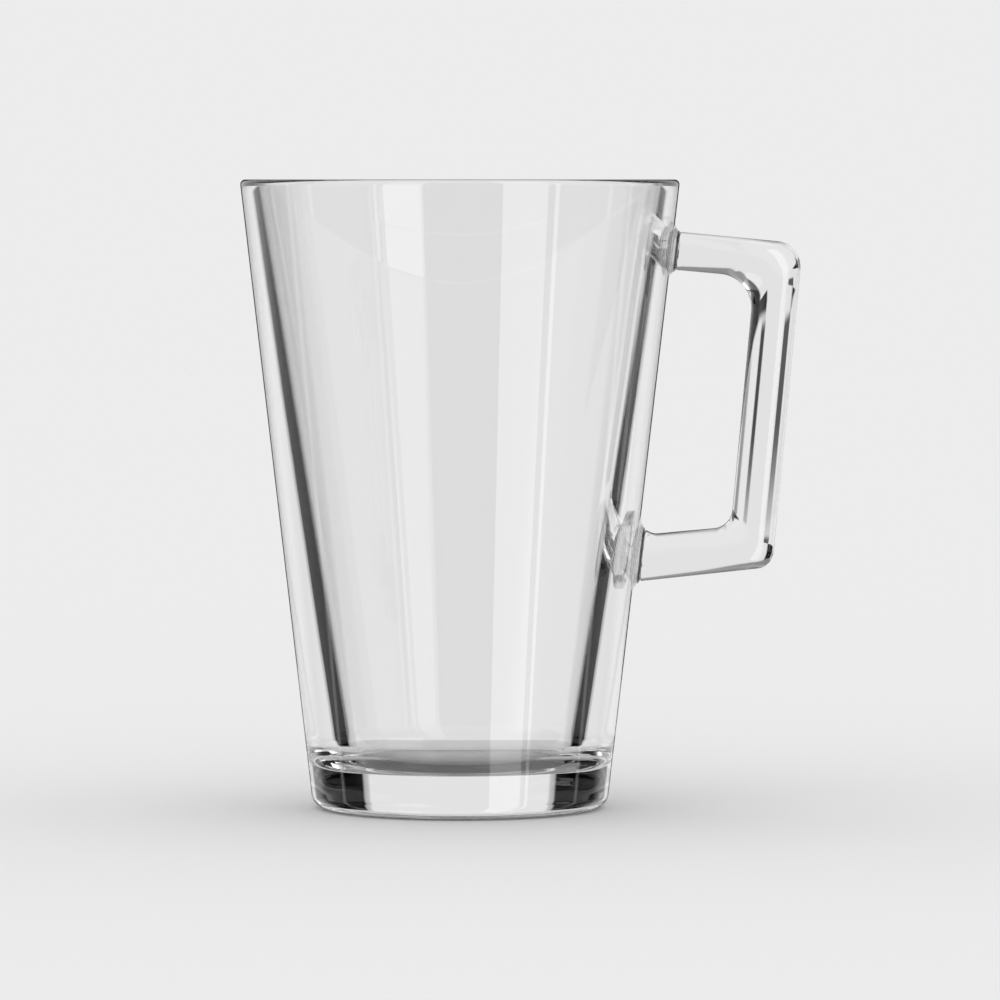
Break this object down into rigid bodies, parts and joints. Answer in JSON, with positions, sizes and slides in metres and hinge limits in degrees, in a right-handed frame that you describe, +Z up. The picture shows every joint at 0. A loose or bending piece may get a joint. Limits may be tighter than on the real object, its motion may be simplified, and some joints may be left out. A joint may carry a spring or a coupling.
{
  "type": "glass mug",
  "caption": "Tall tapered mug of clear pressed glass with a heavy base, a rounded rim and a square-cornered handle welded to the wall at its upper and lower arms.",
  "frame": {"origin": "middle of the flat underside, on the cup's axis", "axes": "+Z up along the cup's axis, +X towards the handle, -Y towards the viewer of the side view"},
  "size_m": [0.1135, 0.089, 0.1275],
  "materials": {
    "cup_glass": "clear pressed soda-lime glass, fire-polished",
    "handle_glass": "clear pressed soda-lime glass, with flat sides and rounded edges",
    "weld_glass": "clear soda-lime glass, melted smooth"
  },
  "bodies": {
    "root": {"mug_body": "cup_glass", "handle": "handle_glass", "upper_weld_collar": "weld_glass", "lower_weld_collar": "weld_glass"}
  },
  "joints": []
}
